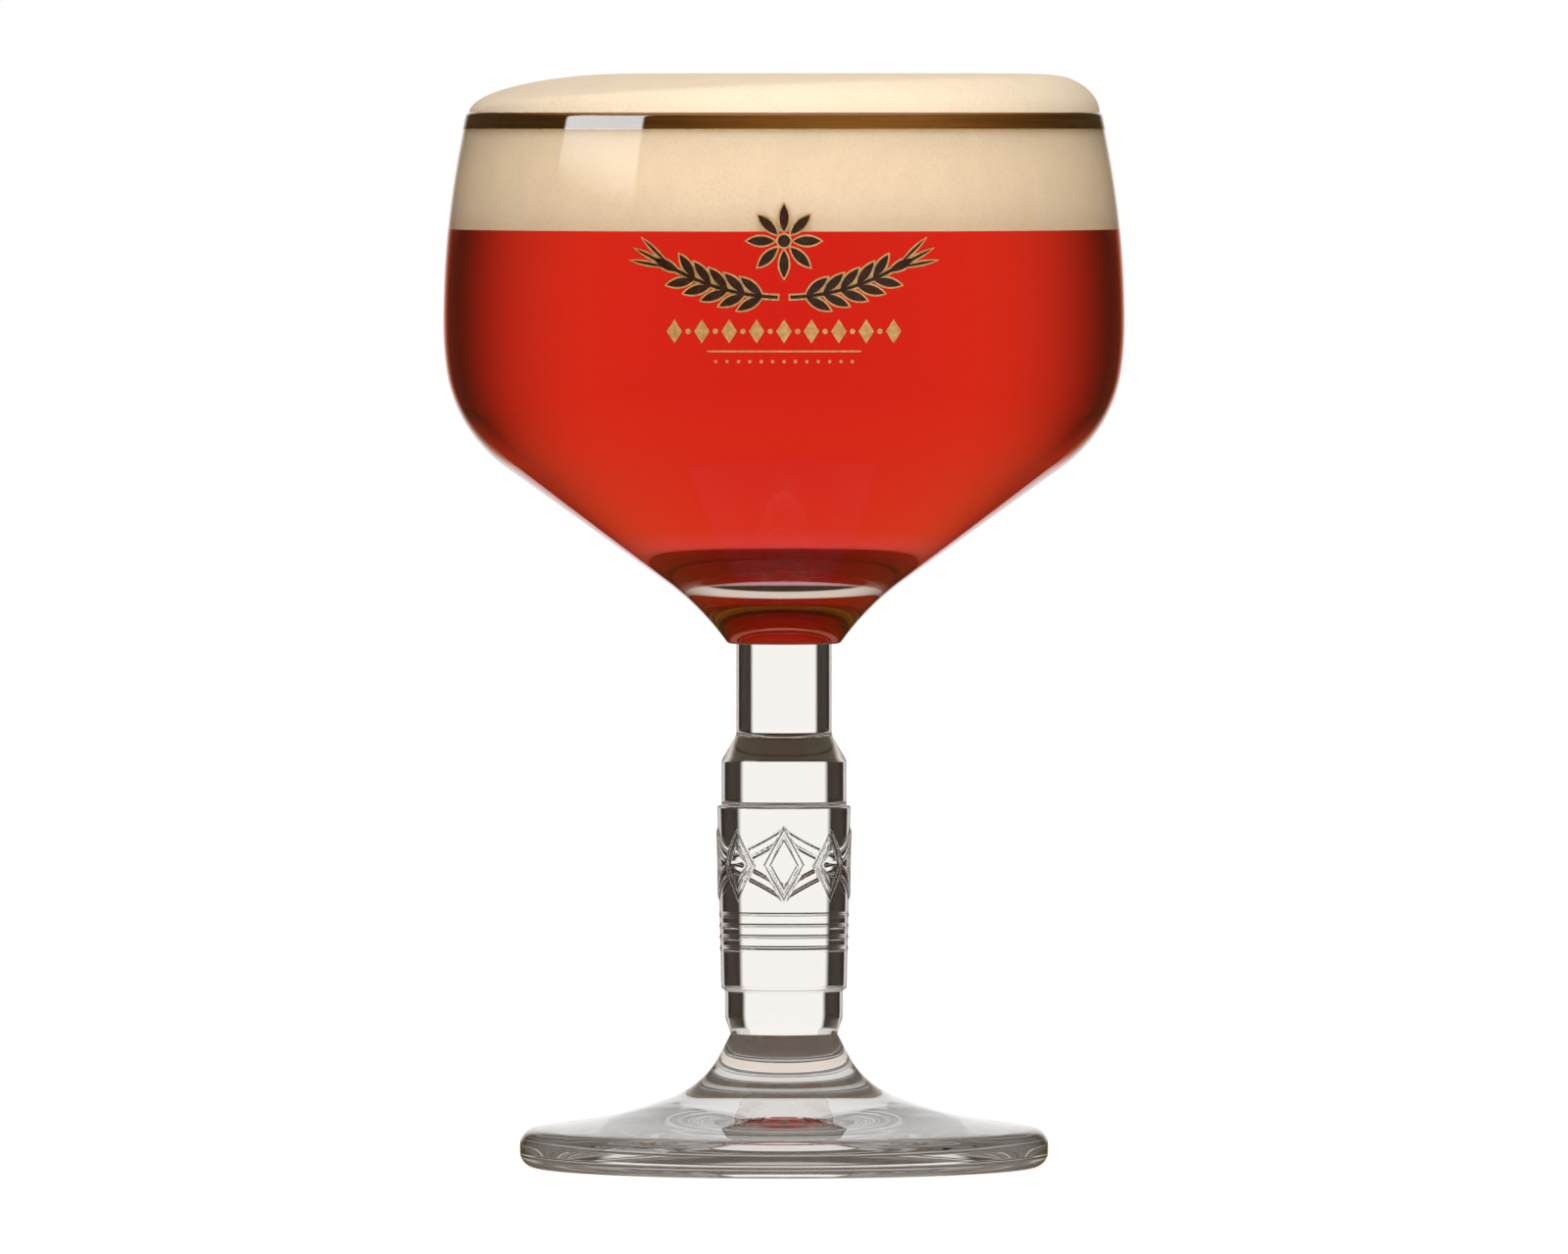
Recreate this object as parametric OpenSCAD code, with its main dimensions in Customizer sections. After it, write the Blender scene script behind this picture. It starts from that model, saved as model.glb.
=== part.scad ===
// Chalice beer glass, served full. A thick-based bowl is fused to a pressed stem, and the
// stem to a wide foot. The lip carries a gold band and the front a two-colour printed
// ornament. Beer and a head of froth fill the bowl.
// Millimetres, +Z up. The origin is the middle of the foot's underside, on the table.

/* [Bowl] */
// Height of the bowl, from its base to the rim
bowl_h = 80.6; // [76:0.2:86]
// Diameter of the belly, the widest place
belly_d = 103.5; // [95:0.5:112]
// Distance that the wall draws in from the belly to the rim
rim_in = 3.65; // [2.5:0.05:5]
// Height of the belly above the bowl's base
belly_h = 48.6; // [46:0.2:52]
// Radius of the wall just below the belly
roll_r = 50; // [42:1:60]
// Angle that this radius turns through
roll_deg = 8; // [7:0.5:10]
// Radius of the turn from the wall into the cone
turn_r = 22; // [18:0.5:26]
// Radius of the hollow curve from the cone to the base
hollow_r = 40; // [34:1:50]
// Slope of the wall where it meets the base, from level
hollow_deg = 54; // [50:1:60]
// Diameter of the bowl's base
base_d = 17.6; // [17:0.1:19]
// Radius of the bead round the base
bead_r = 0.8; // [0.5:0.1:1.2]
// Thickness of the wall
wall = 2.1; // [1.7:0.1:2.6]
// Thickness of the wall at the rim
rim_wall = 1.6; // [1.3:0.1:2]
// Thickness of solid glass under the well
well_base = 13; // [10:0.5:14]

/* [Stem] */
// Height of the stem, from the foot to the bowl
stem_h = 59.2; // [56:0.2:66]
// Diameter of the neck
neck_d = 14.5; // [13:0.1:16]
// Height of the neck
neck_h = 13.8; // [11:0.2:15]
// Height of the slope from the neck to the barrel
shoulder_h = 3.9; // [3.4:0.1:5]
// Diameter of the barrel above the sleeve
barrel_d = 19; // [18.2:0.1:19.6]
// Radius of the bends at the shoulder
shoulder_r = 1.5; // [1:0.1:1.7]
// Distance from the bowl down to the sleeve
sleeve_drop = 24.5; // [22:0.5:26]
// Height of the sleeve
sleeve_h = 27.9; // [25:0.2:29]
// Diameter of the sleeve at its top
sleeve_d = 20.3; // [20:0.1:21.5]
// Diameter of the sleeve at its lower end
sleeve_end_d = 19.1; // [18.8:0.1:19.8]
// Radius of the sleeve's edges
sleeve_r = 0.45; // [0.3:0.05:0.5]
// Diameter of the tail under the sleeve
tail_d = 17.9; // [17.2:0.1:18.5]
// Height of the taper from the tail to the waist
waist_h = 2.6; // [2:0.1:3]
// Diameter of the waist, where the stem meets the foot
waist_d = 16.2; // [15:0.1:17]

/* [Stem relief] */
// Number of raised lozenges round the sleeve
lozenge_count = 8; // [6:1:9]
// Width of a lozenge
lozenge_w = 6.4; // [5:0.1:6.8]
// Height of a lozenge
lozenge_h = 11.5; // [9:0.5:12]
// Height of the relief above the sleeve
relief_h = 0.2; // [0.1:0.05:0.5]
// Distance from the sleeve's top to the lozenges
lozenge_drop = 3.2; // [2.5:0.1:4]
// Number of raised rings under the lozenges
ring_count = 4; // [2:1:5]
// Distance from one ring to the next
ring_pitch = 1.7; // [1.5:0.1:1.9]
// Thickness of a ring
ring_w = 0.5; // [0.4:0.05:0.9]
// Distance from the lozenges to the first ring
ring_gap = 2; // [1.6:0.1:2.6]

/* [Foot] */
// Height of the foot, from the table to the waist
foot_h = 20.2; // [18:0.2:23]
// Diameter of the foot
foot_d = 80.2; // [74:0.2:88]
// Height of the foot's edge
edge_h = 5.5; // [5.3:0.1:6.5]
// Radius of the upper side of the edge
edge_top_r = 2.6; // [2:0.1:2.8]
// Radius of the lower side of the edge
edge_low_r = 2.2; // [1.6:0.1:2.4]
// Slope of the apron, the outer part of the foot's top
apron_deg = 8.5; // [7:0.5:10]
// Diameter where the apron turns up into the brow
apron_d = 47.8; // [45:0.2:52]
// Slope of the brow, the middle part of the foot's top
brow_deg = 21; // [18:0.5:24]
// Slope of the foot's top just below the waist
collar_deg = 63; // [58:1:68]
// Radius of the bend from the collar into the brow
collar_r = 14; // [10:1:15]
// Radius of the bend from the brow into the apron
brow_r = 56; // [30:2:60]
// Width of the flat ring that stands on the table
stand_w = 4; // [3:0.5:6]
// Height of the hollow under the foot, at its middle
kick_h = 2.2; // [1.5:0.1:3]

/* [Decoration] */
// Thickness of the gold and of the print
film = 0.12; // [0.08:0.01:0.2]
// Width of the gold band below the lip's round
band_w = 2; // [1.5:0.1:3]
// Distance from the rim down to the rosette's middle
print_drop = 19.2; // [18:0.2:21]
// Diameter of the rosette
rosette_d = 11; // [9:0.5:12]
// Number of petals in the rosette
petal_count = 8; // [6:1:10]
// Number of pairs of grains in an ear
grain_pairs = 5; // [4:1:6]
// Length of a grain
grain_l = 4.2; // [3.8:0.1:4.8]
// Width of a grain
grain_w = 1.3; // [1.1:0.1:1.5]
// Angle between a grain and its stalk
grain_deg = 34; // [30:1:38]
// Radius of the curve that an ear follows
ear_r = 34; // [30:1:38]
// Angle of that curve from the middle to the stalk's end
stalk_from_deg = 1.6; // [1.4:0.1:2]
// Angle of that curve from the middle to the first grains
ear_from_deg = 5.5; // [5:0.5:7]
// Angle of that curve from one pair of grains to the next
ear_step_deg = 4.4; // [4:0.1:4.8]
// Distance from the rosette's middle down to the stalks
ear_drop = 8.4; // [7:0.2:9]
// Thickness of a stalk
stalk_w = 0.5; // [0.4:0.05:0.7]
// Length of an awn, the bristle beyond the last grains
awn_l = 5.2; // [4:0.2:6]
// Width of an awn
awn_w = 0.4; // [0.3:0.05:0.5]
// Width of the gold edging round the dark print
edging = 0.26; // [0.2:0.02:0.32]
// Distance from the rosette's middle down to the row of lozenges
row_drop = 13.5; // [12.5:0.1:14]
// Width of the row of lozenges
row_w = 35; // [30:1:38]
// Number of lozenges in the row
row_count = 9; // [7:2:11]
// Height of a printed lozenge
row_h = 3.6; // [2.8:0.1:4]
// Width of a printed lozenge
row_lozenge_w = 2.3; // [1.8:0.1:2.4]
// Diameter of the dots between the lozenges
dot_d = 0.8; // [0.6:0.05:1]
// Width of the thin rule under the row
rule_w = 23; // [20:1:26]
// Thickness of the rule
rule_t = 0.25; // [0.2:0.05:0.4]
// Distance from the row's middle down to the rule
rule_drop = 3.1; // [2.9:0.1:3.3]
// Number of small dots in the line under the rule
speck_count = 13; // [9:2:15]
// Diameter of a small dot
speck_d = 0.5; // [0.4:0.05:0.6]
// Distance from one small dot to the next
speck_pitch = 1.7; // [1.5:0.1:1.8]
// Distance from the rule down to the small dots
speck_drop = 1.4; // [1.2:0.1:1.6]

/* [Beer] */
// Distance from the rim down to the beer
head_depth = 18.1; // [12:0.1:26]
// Height of the froth above the rim
crown_h = 6; // [4:0.1:8]
// Width of the froth's rounded edge on its steep side
steep_w = 9.2; // [7:0.2:12]
// Width of the froth's rounded edge on its gentle side
gentle_w = 27; // [20:1:32]
// Distance that the gentle dome leans to the steep side
lean = 6; // [4:0.5:8]

/* [Hidden] */
$fn = 96;

// Farthest that a chord may lie from its arc
chord_gap = 0.012;
// Overrun of every cutting shape
over = 1;
// Where the gold band ends on the lip's round, from level
band_lip_deg = 60;

belly_r = belly_d / 2;
base_r = base_d / 2;
base_z = foot_h + stem_h;
belly_z = base_z + belly_h;
rim_z = base_z + bowl_h;
beer_z = rim_z - head_depth;
lip_r = rim_wall / 2;

// A unit direction, and the place where two lines meet
function way(a) = [cos(a), sin(a)];
function meet(p, d, q, e) = p + d * cross(q - p, e) / cross(d, e);

// Points of an arc round c from angle a to angle b, in either direction
function arc(c, r, a, b) =
    let (n = max(1, ceil(abs(b - a) / (2 * acos(1 - chord_gap / max(r, 2 * chord_gap))))))
    [for (i = [0:n]) c + r * way(a + (b - a) * i / n)];

// An outline of [r, z, corner radius] rows with each corner turned into an arc
function corner(p, q, s, r) =
    let (u = (p - q) / norm(p - q), v = (s - q) / norm(s - q), half = acos(u * v) / 2)
    let (c = q + (u + v) / norm(u + v) * r / sin(half), side = cross(u, v) > 0 ? -1 : 1)
    let (from = side > 0 ? atan2(u.x, -u.y) : atan2(-u.x, u.y))
    arc(c, r, from, from + side * (180 - 2 * half));
function spot(row) = [row[0], row[1]];
function rounded(rows) = [
    for (i = [0:len(rows) - 1])
        each rows[i][2] == 0 ? [spot(rows[i])]
            : corner(spot(rows[i - 1]), spot(rows[i]), spot(rows[i + 1]), rows[i][2])
];

// The wall above the belly: its radius outside, the lip's middle, and its radius inside
wall_r = (pow(rim_z - belly_z, 2) + pow(rim_in, 2)) / (2 * rim_in);
wall_c = [belly_r - wall_r, belly_z];
lip_deg = asin((rim_z - lip_r - belly_z) / (wall_r - lip_r));
lip_c = wall_c + (wall_r - lip_r) * way(lip_deg);
lip_in = lip_c.x - (belly_r - wall);
inner_r = (pow(lip_in, 2) + pow(lip_c.y - belly_z, 2) - pow(lip_r, 2)) / (2 * (lip_r - lip_in));
inner_c = [belly_r - wall - inner_r, belly_z];
lip_in_deg = atan2(lip_c.y - inner_c.y, lip_c.x - inner_c.x);

// The wall below the belly: two turns, a cone tangent to both curves, and the hollow
roll_c = [belly_r - roll_r, belly_z];
turn_c = roll_c + (roll_r - turn_r) * way(-roll_deg);
bead_deg = hollow_deg - 90;
bead_c = [base_r - bead_r * cos(bead_deg), base_z + bead_r];
hollow_c = bead_c + (bead_r + hollow_r) * way(bead_deg);
across = hollow_c - turn_c;
cone_deg = atan2(across.y, across.x) + acos((turn_r + hollow_r) / norm(across));

// The well: a round bottom tangent to the inside of the cone
cone_reach = turn_c * way(cone_deg) + turn_r - wall;
apex_z = cone_reach / sin(cone_deg);
well_z = base_z + well_base;
well_r = (apex_z - well_z) * sin(cone_deg) / (1 + sin(cone_deg));
well_c = [0, well_z + well_r];

// The outside from the middle of the lower turn up to the gold band, and on over the band
// to its end on the lip's round, both moved out by grow
band_deg = lip_deg - band_w / wall_r * 180 / PI;
print_deg = (cone_deg - roll_deg) / 2;
function printed_wall(grow) = concat(
    arc(turn_c, turn_r + grow, print_deg, -roll_deg),
    arc(roll_c, roll_r + grow, -roll_deg, 0),
    arc(wall_c, wall_r + grow, 0, band_deg)
);
function banded_wall(grow) = concat(
    arc(wall_c, wall_r + grow, band_deg, lip_deg),
    arc(lip_c, lip_r + grow, lip_deg, band_lip_deg)
);
inner_wall = concat(
    arc(inner_c, inner_r, lip_in_deg, 0),
    arc(roll_c, roll_r - wall, 0, -roll_deg),
    arc(turn_c, turn_r - wall, -roll_deg, cone_deg),
    arc(well_c, well_r, cone_deg, -90)
);

module bowl_section() {
    polygon(concat(
        [[0, base_z]],
        arc(bead_c, bead_r, -90, bead_deg),
        arc(hollow_c, hollow_r, bead_deg + 180, cone_deg + 180),
        arc(turn_c, turn_r, cone_deg, print_deg),
        printed_wall(0),
        banded_wall(0),
        arc(lip_c, lip_r, band_lip_deg, lip_in_deg + 180),
        inner_wall
    ));
}

module bowl_space_section() {
    polygon(concat([[0, lip_c.y]], inner_wall));
}

module bowl() {
    color([0.86, 0.9, 0.9, 0.35])
    rotate_extrude() bowl_section();
}

sleeve_z = base_z - sleeve_drop;
sleeve_end_z = sleeve_z - sleeve_h;
neck_z = base_z - neck_h;
lozenge_z = sleeve_z - lozenge_drop - lozenge_h / 2;
ring_z = lozenge_z - lozenge_h / 2 - ring_gap;

// Radius of the sleeve at a height
function sleeve_at(z) =
    (sleeve_end_d + (sleeve_d - sleeve_end_d) * (z - sleeve_end_z) / sleeve_h) / 2;

module stem_section() {
    polygon(rounded([
        [0, foot_h, 0],
        [waist_d / 2, foot_h, 0],
        [tail_d / 2, foot_h + waist_h, shoulder_r],
        [tail_d / 2, sleeve_end_z, sleeve_r],
        [sleeve_end_d / 2, sleeve_end_z, sleeve_r],
        [sleeve_d / 2, sleeve_z, sleeve_r],
        [barrel_d / 2, sleeve_z, sleeve_r / 2],
        [barrel_d / 2, neck_z - shoulder_h, shoulder_r],
        [neck_d / 2, neck_z, shoulder_r],
        [neck_d / 2, base_z, 0],
        [0, base_z, 0]
    ]));
}

// A flat lozenge that stands upright in the x-y plane
module lozenge(w, h, grow = 0) {
    polygon([[w / 2 + grow, 0], [0, h / 2 + grow * h / w],
             [-w / 2 - grow, 0], [0, -h / 2 - grow * h / w]]);
}

// Raised lozenges, cut to the sleeve's taper
module lozenges() {
    intersection() {
        for (i = [0:lozenge_count - 1])
            rotate([0, 0, 360 / lozenge_count * i])
            translate([0, 0, lozenge_z])
            rotate([90, 0, 0])
            linear_extrude(sleeve_d)
            lozenge(lozenge_w, lozenge_h);
        translate([0, 0, sleeve_end_z])
        cylinder(h = sleeve_h, r1 = sleeve_end_d / 2 + relief_h, r2 = sleeve_d / 2 + relief_h);
    }
}

module stem() {
    color([0.86, 0.9, 0.9, 0.35])
    union() {
        rotate_extrude() stem_section();
        lozenges();
        for (i = [0:ring_count - 1])
            rotate_extrude()
            translate([sleeve_at(ring_z - i * ring_pitch), ring_z - i * ring_pitch])
            circle(d = ring_w);
    }
}

foot_r = foot_d / 2;
stand_r = foot_r - edge_low_r;
hollow_foot_r = stand_r - stand_w;
brow_foot = [apron_d / 2, edge_h + (foot_r - apron_d / 2) * tan(apron_deg)];
collar_foot = meet([waist_d / 2, foot_h], way(-collar_deg), brow_foot, way(180 - brow_deg));
kick_r = (pow(hollow_foot_r, 2) + pow(kick_h, 2)) / (2 * kick_h);
kick_deg = asin(hollow_foot_r / kick_r);

module foot() {
    color([0.86, 0.9, 0.9, 0.35])
    rotate_extrude()
    polygon(concat(
        rounded([
            [0, foot_h, 0],
            [waist_d / 2, foot_h, 0],
            [collar_foot.x, collar_foot.y, collar_r],
            [brow_foot.x, brow_foot.y, brow_r],
            [foot_r, edge_h, edge_top_r],
            [foot_r, 0, edge_low_r],
            [hollow_foot_r, 0, 0]
        ]),
        arc([0, kick_h - kick_r], kick_r, 90 - kick_deg, 90)
    ));
}

// The film that lies on one stretch of the bowl's outside
function reversed(points) = [for (i = [len(points) - 1:-1:0]) points[i]];
module film_section(outside, inside) {
    polygon(concat(outside, reversed(inside)));
}

module rim_band() {
    color([0.62, 0.43, 0.16])
    rotate_extrude() film_section(banded_wall(film), banded_wall(0));
}

// The film of the print on the bowl's front, for the part of a flat design that it covers
module printed() {
    intersection() {
        rotate_extrude() film_section(printed_wall(film), printed_wall(0));
        translate([0, 0, rim_z - print_drop])
        rotate([90, 0, 0])
        linear_extrude(belly_r + over)
        children();
    }
}

// A pointed oval along x, its near end at the origin
module grain(l, w, grow) {
    r = (l * l + w * w) / (4 * w);
    translate([l / 2, 0])
    intersection() {
        translate([0, r - w / 2]) circle(r + grow);
        translate([0, w / 2 - r]) circle(r + grow);
    }
}

module stalk(from, to, grow) {
    more = grow / ear_r * 180 / PI;
    intersection() {
        difference() {
            circle(ear_r + stalk_w / 2 + grow);
            circle(ear_r - stalk_w / 2 - grow);
        }
        polygon([[0, 0], 2 * ear_r * way(from - more), 2 * ear_r * way(to + more)]);
    }
}

module ear(grow) {
    tip = ear_from_deg + grain_pairs * ear_step_deg - 90;
    translate([0, ear_r - ear_drop]) {
        stalk(stalk_from_deg - 90, tip + ear_step_deg / 4, grow);
        for (i = [0:grain_pairs - 1], side = [-1, 1]) {
            a = ear_from_deg + i * ear_step_deg - 90;
            translate((ear_r + side * stalk_w / 4) * way(a))
            rotate(a + 90 - side * grain_deg)
            grain(grain_l, grain_w, grow);
        }
        translate(ear_r * way(tip))
        rotate(tip + 90)
        grain(grain_l, grain_w, grow);
        for (k = [-1:1])
            translate(ear_r * way(tip) + grain_l / 2 * way(tip + 90) + k * grain_w / 4 * way(tip))
            rotate(tip + 90 - k * grain_deg / 2)
            grain(awn_l, awn_w, grow);
    }
}

module rosette(grow) {
    for (i = [0:petal_count - 1])
        rotate(i * 360 / petal_count)
        translate([rosette_d / 8, 0])
        grain(rosette_d * 3 / 8, rosette_d / petal_count, grow);
    circle(d = rosette_d / 6 + 2 * grow);
}

// The dark part of the design, with every outline moved out by grow
module ornament(grow) {
    rosette(grow);
    ear(grow);
    mirror([1, 0]) ear(grow);
}

module enamel_print() {
    color([0.16, 0.09, 0.05])
    printed() ornament(0);
}

module gold_rows() {
    step = (row_w - row_lozenge_w) / (row_count - 1);
    for (i = [0:row_count - 1])
        translate([(i - (row_count - 1) / 2) * step, -row_drop])
        lozenge(row_lozenge_w, row_h);
    for (i = [0:row_count - 2])
        translate([(i - (row_count - 2) / 2) * step, -row_drop])
        circle(d = dot_d);
    translate([-rule_w / 2, -row_drop - rule_drop])
    square([rule_w, rule_t]);
    for (i = [0:speck_count - 1])
        translate([(i - (speck_count - 1) / 2) * speck_pitch, -row_drop - rule_drop - speck_drop])
        circle(d = speck_d);
}

module gold_print() {
    color([0.78, 0.58, 0.26])
    printed() {
        difference() {
            ornament(edging);
            ornament(0);
        }
        gold_rows();
    }
}

module beer() {
    color([0.72, 0.13, 0.05])
    rotate_extrude()
    intersection() {
        bowl_space_section();
        square([belly_r, beer_z]);
    }
}

crown_r = lip_c.x + lip_r * cos(band_lip_deg);
crown_z = lip_c.y + lip_r * sin(band_lip_deg);

// A dome on the rim with a flat top and a rounded edge of width w, out to radius r
module dome_section(r, w) {
    top = rim_z + crown_h;
    polygon(concat(
        [[0, lip_c.y - rim_wall], [r, lip_c.y - rim_wall]],
        [for (a = [0:6:90]) [r - w + w * cos(a), crown_z + (top - crown_z) * sin(a)]],
        [[0, top]]
    ));
}

// The head fills the bowl above the beer, covers the lip and stands over it in a dome
// that is steep on one side and gentle on the other
module froth() {
    color([0.96, 0.91, 0.8])
    intersection() {
        union() {
            rotate_extrude()
            intersection() {
                bowl_space_section();
                translate([0, beer_z]) square([belly_r, head_depth]);
            }
            rotate_extrude()
            difference() {
                dome_section(crown_r, steep_w);
                bowl_section();
            }
        }
        translate([lean, 0, 0])
        union() {
            translate([0, 0, beer_z]) cylinder(h = head_depth - rim_wall, r = belly_r + lean);
            rotate_extrude() dome_section(crown_r + lean - film, gentle_w);
        }
    }
}

bowl();
stem();
foot();
rim_band();
enamel_print();
gold_print();
beer();
froth();
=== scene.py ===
import math

import bpy
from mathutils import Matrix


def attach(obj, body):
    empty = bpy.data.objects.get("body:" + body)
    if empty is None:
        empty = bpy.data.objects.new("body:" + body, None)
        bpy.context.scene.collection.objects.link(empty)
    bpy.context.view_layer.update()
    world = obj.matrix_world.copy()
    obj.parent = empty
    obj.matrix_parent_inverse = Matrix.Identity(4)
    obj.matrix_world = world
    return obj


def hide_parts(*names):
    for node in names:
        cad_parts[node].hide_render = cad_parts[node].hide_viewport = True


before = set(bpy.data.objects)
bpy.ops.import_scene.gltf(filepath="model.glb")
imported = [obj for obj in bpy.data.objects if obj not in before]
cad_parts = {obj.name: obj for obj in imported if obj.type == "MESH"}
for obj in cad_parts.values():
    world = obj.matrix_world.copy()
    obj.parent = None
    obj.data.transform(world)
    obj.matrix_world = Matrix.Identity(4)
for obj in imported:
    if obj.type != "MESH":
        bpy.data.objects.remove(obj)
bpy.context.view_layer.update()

# Camera
# A long lens a little over 3 m away, level with the rim, looks about 1.4 degrees down at
# the middle of the glass.
camera_away, camera_up, aim_up = 3.2, 0.160, 0.0819
frame_width = 0.2379
lens = bpy.data.cameras.new("camera")
lens.sensor_width = 36
lens.lens = lens.sensor_width * camera_away / frame_width
camera = bpy.data.objects.new("camera", lens)
camera.location = (0, -camera_away, camera_up)
camera.rotation_euler = (math.pi / 2 - math.atan2(camera_up - aim_up, camera_away), 0, 0)
bpy.context.scene.collection.objects.link(camera)
bpy.context.scene.camera = camera


# Studio
# A white backdrop behind the glass, with black flags on both sides that draw its edges, a
# tall softbox on the left, and even light from the front and above for what isn't clear.
class Flow:
    """A value on its way through a node tree. Arithmetic on it adds Math nodes."""

    def __init__(self, tree, socket=None):
        self.tree, self.socket = tree, socket

    def node(self, kind, settings=None, sockets=None, out=0):
        """Any other node: its settings or a ramp's stops, then its sockets' values or links."""
        made = self.tree.nodes.new(kind)
        for name, value in (settings or {}).items():
            if name == "stops":
                first, *others = value
                made.color_ramp.elements.remove(made.color_ramp.elements[1])
                made.color_ramp.elements[0].position = first[0]
                made.color_ramp.elements[0].color = first[1]
                for place, colour in others:
                    made.color_ramp.elements.new(place).color = colour
            else:
                setattr(made, name, value)
        for name, value in (sockets or {}).items():
            if isinstance(value, Flow):
                self.tree.links.new(value.socket, made.inputs[name])
            else:
                made.inputs[name].default_value = value
        return Flow(self.tree, made.outputs[out] if len(made.outputs) else None)

    def out(self, name):
        return Flow(self.tree, self.socket.node.outputs[name])

    def math(self, operation, *values):
        return self.node("ShaderNodeMath", {"operation": operation}, dict(enumerate(values)))

    def __add__(self, other): return self.math("ADD", self, other)
    def __radd__(self, other): return self.math("ADD", other, self)
    def __sub__(self, other): return self.math("SUBTRACT", self, other)
    def __rsub__(self, other): return self.math("SUBTRACT", other, self)
    def __mul__(self, other): return self.math("MULTIPLY", self, other)
    def __rmul__(self, other): return self.math("MULTIPLY", other, self)
    def __truediv__(self, other): return self.math("DIVIDE", self, other)
    def __rtruediv__(self, other): return self.math("DIVIDE", other, self)
    def __pow__(self, other): return self.math("POWER", self, other)

    def fade(self, start, end, low=0.0, high=1.0):
        """From low to high as the value goes from start to end, with soft ends."""
        return self.node("ShaderNodeMapRange", {"interpolation_type": "SMOOTHSTEP"},
                         {0: self, 1: start, 2: end, 3: low, 4: high})

    def blend(self, low, high):
        """A colour between two others, by this value."""
        return self.node("ShaderNodeMix", {"data_type": "RGBA"}, {0: self, 6: low, 7: high}, out=2)


def parts_of(vector):
    """The X of a vector, and by name its Y and Z."""
    return vector.node("ShaderNodeSeparateXYZ", sockets={0: vector})


studio = bpy.data.worlds.new("studio")
studio.use_nodes = True
studio.node_tree.nodes.clear()
air = Flow(studio.node_tree)
toward = parts_of(air.node("ShaderNodeTexCoord", out="Generated"))
rightward, backward, upward = toward, toward.out("Y"), toward.out("Z")
path = air.node("ShaderNodeLightPath")
turn = air.math("ABSOLUTE", air.math("ARCTAN2", rightward, backward))

# What a ray sees through the glass, by its turn from straight behind in radians and by the
# sine of its elevation. After four faces or more the backdrop has no clear edge, and each
# mirroring inside the glass dims it, down to a dark that isn't black.
backdrop_half, backdrop_blur, soft_backdrop = math.radians(31.3), 0.05, (0.28, 0.98)
panel_start, panel_end, panel_rest = (1.07, 1.19), (2.7, 2.85), 0.03
gap_start, gap_end, horizon = (2.0, 2.08), (2.14, 2.22), (-0.3, -0.15)
low_rise, low_turn, low_light = (-0.2, -0.1), (0.75, 1.15), 0.8
high_rise, high_light, deep_rise, deep_light = (0.15, 0.35), 0.75, (0.2, 0.5), 0.6
deep_from, mirror_loss, mirror_floor = 3.5, 0.26, 0.06
flag_dark, backdrop_white = (0.02, 0.009, 0.004, 1), (1, 0.975, 0.945, 1)
deep = air.math("GREATER_THAN", path.out("Transmission Depth"), deep_from)
sharp = turn.fade(backdrop_half - backdrop_blur, backdrop_half + backdrop_blur, 1, 0)
soft = turn.fade(*soft_backdrop, 1, 0)
behind = sharp + (soft - sharp) * deep
beside = turn.fade(*panel_start) * turn.fade(*panel_end, 1, panel_rest)
beside = beside - beside * turn.fade(*gap_start) * turn.fade(*gap_end, 1, 0)
level = air.math("MAXIMUM", behind, beside)
below = upward.fade(*low_rise, low_light, 0) * turn.fade(*low_turn)
above = upward.fade(*high_rise, 0, high_light)
above = above + (upward.fade(*deep_rise, 0, deep_light) - above) * deep
level = level * upward.fade(*horizon)
level = air.math("MAXIMUM", air.math("MAXIMUM", level, below), above)
turned_back = air.math("MINIMUM", path.out("Glossy Depth"), 2)
level = air.math("MAXIMUM", level * (1 - mirror_loss * turned_back),
                 mirror_floor * turned_back)
seen_through = level.blend(flag_dark, backdrop_white)

# What a ray sees mirrored. Polished faces mirror the middle of the backdrop, the softbox
# and the light overhead, and rough ones a broad glow from the front. A ray that was
# mirrored twice finds no light.
middle_turn, front_light, softbox_light = (0.1, 0.35), 0.06, 3.6
box_start, box_end, box_low, box_high = (0.93, 0.96), (1.52, 1.55), (0.2, 0.3), (0.5, 0.65)
overhead_rise, glow_rise, overhead_light = (0.55, 0.95), (0.3, 0.9), 0.6
glow_right, glow_front, glow_least, glow_light = 0.227, 0.4455, 0.05, 0.62
left_turn = air.math("ARCTAN2", 0 - rightward, 0 - backward)
softbox = (left_turn.fade(*box_start) * left_turn.fade(*box_end, 1, 0)
           * upward.fade(*box_low) * upward.fade(*box_high, 1, 0))
mirrored = air.math("MAXIMUM", turn.fade(*middle_turn, 1, front_light), softbox * softbox_light)
mirrored = air.math("MAXIMUM", mirrored, upward.fade(*overhead_rise, 0, overhead_light))
frontal = 0.5 + glow_right * rightward - glow_front * backward
glow = air.math("MAXIMUM", glow_least + glow_light * frontal ** 4,
                upward.fade(*glow_rise, 0, overhead_light))
mirrored = glow + (mirrored - glow) * path.out("Is Singular Ray")
mirrored = mirrored * air.math("LESS_THAN", path.out("Glossy Depth"), 1.5)

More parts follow.
